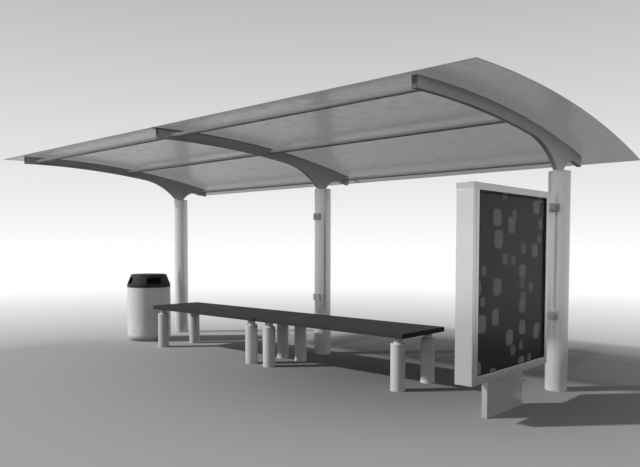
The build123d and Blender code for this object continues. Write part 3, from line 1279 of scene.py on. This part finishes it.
@dataclass
class LitterBin(SubAssembly):
    """Round bin: base with a rounded foot, body with a groove, hood with three mouths, inner bucket."""

    round_height: float = mm(90.0)
    round_inset: float = mm(50.0)
    groove_low: float = mm(105.0)
    groove_depth: float = mm(4.3)
    spigot_height: float = mm(24.0)
    body_wall: float = mm(4.0)
    bead: float = mm(704.0)
    bead_width: float = mm(8.0)
    bead_depth: float = mm(3.0)
    band: float = mm(38.0)
    sill: float = mm(17.0)
    top_radius: float = mm(246.0)
    shoulder: float = mm(14.0)
    edge: float = mm(1.0)
    bead_edge: float = mm(0.8)
    bucket_edge: float = mm(1.5)
    wall: float = mm(5.0)
    floor: float = mm(6.0)
    mouths: int = 3
    first_mouth: float = -107.4
    mouth_pitch: float = 90.0
    mouth_width: float = mm(200.0)
    mouth_height: float = mm(84.0)
    foot_steps: int = 12
    shoulder_steps: int = 6
    hood_steps: int = 120

    def build(self) -> None:
        """Makes the bin's four pieces."""
        low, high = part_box("bin_body")
        centre = Vector(((low.x + high.x) / 2.0, (low.y + high.y) / 2.0, 0.0))
        radius = (high.x - low.x) / 2.0
        body_top = high.z
        self.piece("bin_base_dish", self.base(centre, radius, low.z), BIN_SHELL, ["bin_base"])
        self.piece("bin_body_shell", self.body(centre, radius, low.z, body_top), BIN_SHELL, ["bin_body"])
        self.piece("bin_hood_shell", self.hood(centre, radius, body_top), BIN_HOOD, ["bin_hood"])
        bucket_low, bucket_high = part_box("bin_liner")
        outside = (bucket_high.x - bucket_low.x) / 2.0
        inside = outside - self.wall
        floor = bucket_low.z + self.wall
        profile = [
            (0.0, bucket_low.z), (outside, bucket_low.z), (outside, bucket_high.z),
            (inside, bucket_high.z), (inside, floor), (0.0, floor),
        ]
        bucket = soften(turned(centre, profile), self.bucket_edge)
        self.piece("bin_bucket", bucket, BIN_BUCKET, ["bin_liner"])

    def base(self, centre: Vector, radius: float, body_low: float) -> BMesh:
        """Makes the base: rounded foot, and the spigot that shows in the groove under the body.

        Args:
            centre: The middle of the bin's foot.
            radius: The body's outer radius.
            body_low: The height of the body's lower edge.

        Returns:
            The base's mesh.
        """
        foot = radius - self.round_inset
        spigot = radius - self.groove_depth
        inside = spigot - self.body_wall
        spigot_top = body_low + self.spigot_height
        outer_start = spoke(centre, foot, 0.0)
        outer_end = spoke(centre, radius, self.round_height)
        inner_start = spoke(centre, inside, self.round_height)
        inner_end = spoke(centre, foot - self.body_wall, self.floor)
        rim = [
            (radius, self.groove_low), (spigot, self.groove_low), (spigot, spigot_top),
            (inside, spigot_top),
        ]
        outline = Outline(centre.copy(), REARWARD).line(outer_start)
        outline.arc(outer_end, tangent_centre(outer_end, -UP, outer_start, REARWARD), self.foot_steps)
        outline.line(*(spoke(centre, r, z) for r, z in rim), inner_start)
        outline.arc_along(-UP, inner_end, self.foot_steps)
        outline.line(spoke(centre, 0.0, self.floor))
        return soften(outline.turn(centre), self.edge)

    def body(self, centre: Vector, radius: float, low: float, high: float) -> BMesh:
        """Makes the body: a drawn shell with one groove rolled into it near its top.

        Args:
            centre: The middle of the bin's foot.
            radius: The body's outer radius.
            low: The height of its lower edge.
            high: The height of its upper edge.

        Returns:
            The body's mesh.
        """
        wall, dip = self.body_wall, self.bead_depth
        bead_low = self.bead - self.bead_width / 2.0
        bead_high = self.bead + self.bead_width / 2.0
        outside = [
            (radius, low), (radius, bead_low), (radius - dip, bead_low), (radius - dip, bead_high),
            (radius, bead_high), (radius, high),
        ]
        inside = [
            (radius, high), (radius, bead_high + wall), (radius - dip, bead_high + wall),
            (radius - dip, bead_low - wall), (radius, bead_low - wall), (radius, low),
        ]
        profile = [*outside, *((reach - wall, height) for reach, height in inside)]
        return soften(turned(centre, profile, closed=True), self.bead_edge)

    def hood(self, centre: Vector, radius: float, low: float) -> BMesh:
        """Makes the hood: band, tapered side with mouths, rounded shoulder and flat top.

        Args:
            centre: The middle of the bin's foot.
            radius: The body's outer radius.
            low: The height of the band's lower edge.

        Returns:
            The hood's mesh.
        """
        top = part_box("bin_hood")[1].z
        band_top = low + self.band
        mouth_low = band_top + self.sill
        mouth_top = mouth_low + self.mouth_height
        slope = (radius - self.top_radius) / (top - band_top)
        outline = Outline(spoke(centre, radius, low), REARWARD)
        for height in (band_top, mouth_low, mouth_top, top - self.shoulder):
            outline.line(spoke(centre, radius - slope * (height - band_top), height))
        rim = spoke(centre, self.top_radius - self.shoulder, top)
        heading = Vector((-slope, 0.0, 1.0)).normalized()
        outline.arc_along(heading, rim, self.shoulder_steps)
        outline.line(spoke(centre, 0.0, top))
        bm = outline.turn(centre, steps=self.hood_steps)
        for i in range(self.mouths):
            turn = math.radians(self.first_mouth + i * self.mouth_pitch)
            self.open_mouth(bm, centre, turn, mouth_low, mouth_top)
        bmesh.ops.solidify(bm, geom=bm.faces[:], thickness=self.wall)
        return cleaned(bm)

    def open_mouth(self, bm: BMesh, centre: Vector, turn: float, low: float, high: float) -> None:
        """Cuts one mouth through the hood's side.

        Args:
            bm: The hood's mesh.
            centre: The middle of the bin's foot.
            turn: The mouth's heading, from +X towards +Y.
            low: The height of its sill.
            high: The height of its top.
        """
        heading = Vector((math.cos(turn), math.sin(turn), 0.0))
        across = UP.cross(heading)
        reach = self.mouth_width / 2.0

        def at_mouth(face: BMFace) -> bool:
            """Tells whether a face lies at the mouth's height, on its side of the bin."""
            middle = face.calc_center_median() - centre
            return low < middle.z < high and middle.dot(heading) > 0.0

        for side in (-1.0, 1.0):
            faces = [f for f in bm.faces if at_mouth(f)]
            edges = {e for f in faces for e in f.edges}
            verts = {v for f in faces for v in f.verts}
            bmesh.ops.bisect_plane(
                bm, geom=[*faces, *edges, *verts], plane_co=centre + across * side * reach, plane_no=across
            )
        opened = [
            f for f in bm.faces if at_mouth(f) and abs((f.calc_center_median() - centre).dot(across)) < reach
        ]
        bmesh.ops.delete(bm, geom=opened, context="FACES")


@dataclass
class Studio:
    """Floor, background, lamp and camera."""

    camera_place: tuple[float, float, float] = (5.4672, -5.9793, 1.3704)
    camera_yaw: float = 42.344
    camera_pitch: float = -2.573
    camera_roll: float = 0.084
    image_width: float = 640.0
    image_height: float = 467.0
    focal_pixels: float = 646.48
    middle_pixel: tuple[float, float] = (323.72, 273.63)
    sensor: float = 36.0
    key_azimuth: float = 42.3
    key_height: float = 32.8
    key_strength: float = 3.2
    key_width: float = 2.5
    low_fill: float = 1.75
    high_fill: float = 0.62
    horizon_tone: str = "#FFFFFF"
    high_tone: str = "#BEBEBE"
    high_reach: float = 0.344
    high_power: float = 0.75
    floor_tone: str = "#AEAEAE"
    # Painted shade: the floor's tone darkens towards this soft spot under the shelter.
    painted_shade_tone: str = "#707070"
    painted_shade_centre: tuple[float, float, float] = (1.482, 0.2, 0.0)
    painted_shade_reach: float = 2.72
    bounce_tone: str = "#141414"
    fade_centre: tuple[float, float, float] = (2.14, -2.926, 0.0)
    fade_start: float = 5.3
    fade_end: float = 15.8
    fade_power: float = 0.7
    floor_reach: float = 400.0

    def build(self) -> None:
        """Makes the whole stage."""
        self.camera()
        self.key_lamp()
        self.floor()
        self.background()

    def camera(self) -> None:
        """Makes the camera at the photograph's place and angle."""
        data = bpy.data.cameras.new("camera")
        data.sensor_width = self.sensor
        data.lens = self.focal_pixels / self.image_width * self.sensor
        data.shift_x = (self.image_width / 2.0 - self.middle_pixel[0]) / self.image_width
        data.shift_y = (self.middle_pixel[1] - self.image_height / 2.0) / self.image_width
        data.clip_end = self.floor_reach
        made = in_scene("camera", data)
        made.matrix_world = (
            Matrix.Translation(self.camera_place)
            @ Matrix.Rotation(math.radians(self.camera_yaw), 4, "Z")
            @ Matrix.Rotation(math.radians(90.0 + self.camera_pitch), 4, "X")
            @ Matrix.Rotation(math.radians(self.camera_roll), 4, "Z")
        )
        bpy.context.scene.camera = made

    def key_lamp(self) -> None:
        """Makes the one lamp, a sun that shines from the front left."""
        data = bpy.data.lights.new("key", "SUN")
        data.energy = self.key_strength
        data.angle = math.radians(self.key_width)
        made = in_scene("key", data)
        azimuth, height = math.radians(self.key_azimuth), math.radians(self.key_height)
        heading = Vector(
            (math.sin(azimuth) * math.cos(height), math.cos(azimuth) * math.cos(height), -math.sin(height))
        )
        made.rotation_euler = heading.to_track_quat("-Z", "Y").to_euler()

    def floor(self) -> None:
        """Makes the floor: grey, with painted shade that darkens it under the shelter, and white towards the
        horizon.

        The light that it throws back on the shelter is that of a darker floor.
        """
        bm = bmesh.new()
        bmesh.ops.create_grid(bm, x_segments=1, y_segments=1, size=self.floor_reach / 2.0)
        material = bpy.data.materials.new("pale_floor")
        tree = empty_tree(material)
        place = add_node(tree, "ShaderNodeTexCoord").outputs["Object"]
        distance = add_node(
            tree, "ShaderNodeVectorMath", {"operation": "DISTANCE", 1: self.fade_centre}, {0: place}
        ).outputs["Value"]
        far = self.rising(tree, distance, self.fade_start, self.fade_end, self.fade_power)
        tone = add_node(
            tree, "ShaderNodeMix",
            {"data_type": "RGBA", 6: linear(self.floor_tone), 7: linear(self.painted_shade_tone)},
            {0: self.painted_shade(tree, place)},
        ).outputs[2]
        bounced = add_node(tree, "ShaderNodeLightPath").outputs["Is Diffuse Ray"]
        tone = add_node(
            tree, "ShaderNodeMix", {"data_type": "RGBA", 7: linear(self.bounce_tone)}, {0: bounced, 6: tone}
        ).outputs[2]
        ground = add_node(
            tree, "ShaderNodeBsdfDiffuse", {"Roughness": 0.0}, {"Color": tone}
        ).outputs["BSDF"]
        white = add_node(
            tree, "ShaderNodeEmission", {"Color": linear("#FFFFFF"), "Strength": 1.0}
        ).outputs["Emission"]
        share = add_node(
            tree, "ShaderNodeMath", {"operation": "MULTIPLY"}, {0: self.seen(tree), 1: far}
        ).outputs["Value"]
        shown = add_node(
            tree, "ShaderNodeMixShader", links={0: share, 1: ground, 2: white}
        ).outputs["Shader"]
        add_node(tree, "ShaderNodeOutputMaterial", links={"Surface": shown})
        mesh_object("floor", bm, material)

    def rising(
        self, tree: NodeTree, value: NodeSocket, low: float, high: float, power: float
    ) -> NodeSocket:
        """Makes a share that rises with a value.

        Args:
            tree: The tree that asks.
            value: The value.
            low: Where the share is 0.
            high: Where it is 1.
            power: How the rise bends: below 1 it is steep at first.

        Returns:
            The socket of the share.
        """
        share = add_node(
            tree, "ShaderNodeMapRange", {"From Min": low, "From Max": high}, {"Value": value}
        ).outputs["Result"]
        return add_node(
            tree, "ShaderNodeMath", {"operation": "POWER", 1: power}, {0: share}
        ).outputs["Value"]

    def painted_shade(self, tree: NodeTree, place: NodeSocket) -> NodeSocket:
        """Makes a soft round spot of painted shade under the shelter.

        Args:
            tree: The floor's tree.
            place: The place on the floor.

        Returns:
            A socket that is 1 at the spot's middle and falls to 0 around it.
        """
        value = add_node(
            tree, "ShaderNodeVectorMath", {"operation": "DISTANCE", 1: self.painted_shade_centre}, {0: place}
        ).outputs["Value"]
        bell = (("DIVIDE", self.painted_shade_reach), ("POWER", 2.0), ("MULTIPLY", -1.0), ("EXPONENT", 0.0))
        for operation, number in bell:
            value = add_node(
                tree, "ShaderNodeMath", {"operation": operation, 1: number}, {0: value}
            ).outputs["Value"]
        return value

    def seen(self, tree: NodeTree) -> NodeSocket:
        """Tells rays that show the background from those that only carry light.

        Args:
            tree: The tree that asks.

        Returns:
            A socket that is 1 for camera, glossy and transmission rays, else 0.
        """
        path = add_node(tree, "ShaderNodeLightPath")
        shown = path.outputs["Is Camera Ray"]
        for name in ("Is Glossy Ray", "Is Transmission Ray"):
            shown = add_node(
                tree, "ShaderNodeMath", {"operation": "MAXIMUM"}, {0: shown, 1: path.outputs[name]}
            ).outputs["Value"]
        return shown

    def background(self) -> None:
        """Makes the world: white at the horizon and light grey above.

        The light that it throws on the shelter is stronger from low down and weaker from above.
        """
        world = bpy.data.worlds.new("background")
        bpy.context.scene.world = world
        tree = empty_tree(world)
        direction = add_node(tree, "ShaderNodeTexCoord").outputs["Generated"]
        height = add_node(tree, "ShaderNodeSeparateXYZ", links={"Vector": direction}).outputs["Z"]
        rise = self.rising(tree, height, 0.0, self.high_reach, self.high_power)
        tone = add_node(
            tree, "ShaderNodeMix",
            {"data_type": "RGBA", 6: linear(self.horizon_tone), 7: linear(self.high_tone)}, {0: rise},
        ).outputs[2]
        shown = add_node(
            tree, "ShaderNodeBackground", {"Strength": 1.0}, {"Color": tone}
        ).outputs["Background"]
        fill = add_node(
            tree, "ShaderNodeMapRange", {"To Min": self.low_fill, "To Max": self.high_fill}, {"Value": rise}
        ).outputs["Result"]
        light = add_node(
            tree, "ShaderNodeBackground", links={"Color": tone, "Strength": fill}
        ).outputs["Background"]
        both = add_node(
            tree, "ShaderNodeMixShader", links={0: self.seen(tree), 1: light, 2: shown}
        ).outputs["Shader"]
        add_node(tree, "ShaderNodeOutputWorld", links={"Surface": both})


def main() -> None:
    """Builds the sub-assemblies in order."""
    logging.basicConfig(level=logging.INFO, format="%(name)s %(message)s")
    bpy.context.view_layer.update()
    bpy.context.scene.view_settings.view_transform = "Standard"
    Studio().build()
    curve = RoofCurve()
    for group in (Columns(), Arms(curve), Purlins(), Roof(curve), PosterCase(), Benches(), LitterBin()):
        log.info("building %s", type(group).__name__)
        group.build()


if __name__ == "__main__":
    main()
